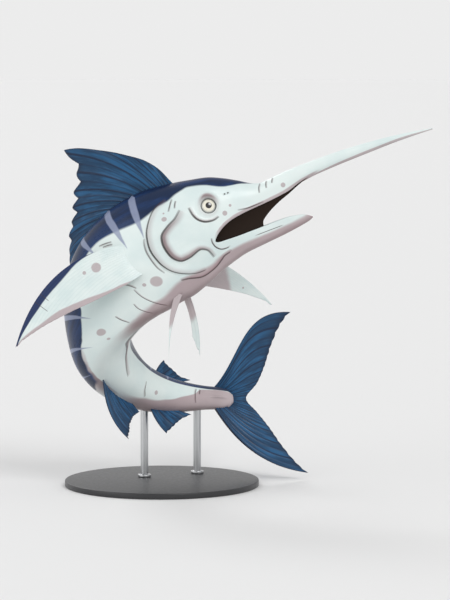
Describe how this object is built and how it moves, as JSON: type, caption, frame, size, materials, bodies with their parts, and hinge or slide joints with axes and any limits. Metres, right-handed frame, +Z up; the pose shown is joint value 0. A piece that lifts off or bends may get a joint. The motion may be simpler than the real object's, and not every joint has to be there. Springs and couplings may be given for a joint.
{
  "type": "blue marlin display model",
  "caption": "Life-size blue marlin, a billfish, leaping with its body arched and rolled and its mouth open, held on a round base by two short rods.",
  "frame": {"origin": "centre of the stand base's underside", "axes": "+Z up, +X towards the bill in the picture's view, +Y away from the viewer"},
  "size_m": [2.0791, 1.3191, 1.8476],
  "materials": {
    "skin": "satin, pale flank and dark blue back",
    "dark_fin": "satin",
    "pale_fin": "satin",
    "eye": "polished",
    "stand_paint": "satin black paint",
    "rod_steel": "brushed"
  },
  "bodies": {
    "root": {"bill": "skin", "head": "skin", "lower_jaw": "skin", "gill_cover_right": "skin", "gill_cover_left": "skin", "eye_right": "eye", "eye_left": "eye", "torso_front": "skin", "torso_rear": "skin", "tail_stock": "skin", "dorsal_fin_first_1": "dark_fin", "dorsal_fin_first_2": "dark_fin", "dorsal_fin_first_3": "dark_fin", "dorsal_fin_first_4": "dark_fin", "dorsal_fin_second": "dark_fin", "anal_fin_first": "dark_fin", "anal_fin_second": "dark_fin", "tail_fin": "dark_fin", "pectoral_fin_right": "pale_fin", "pectoral_fin_left": "pale_fin", "pelvic_fin_right": "pale_fin", "pelvic_fin_left": "pale_fin", "stand_base": "stand_paint", "stand_rod_front": "rod_steel", "stand_rod_rear": "rod_steel"}
  },
  "joints": []
}
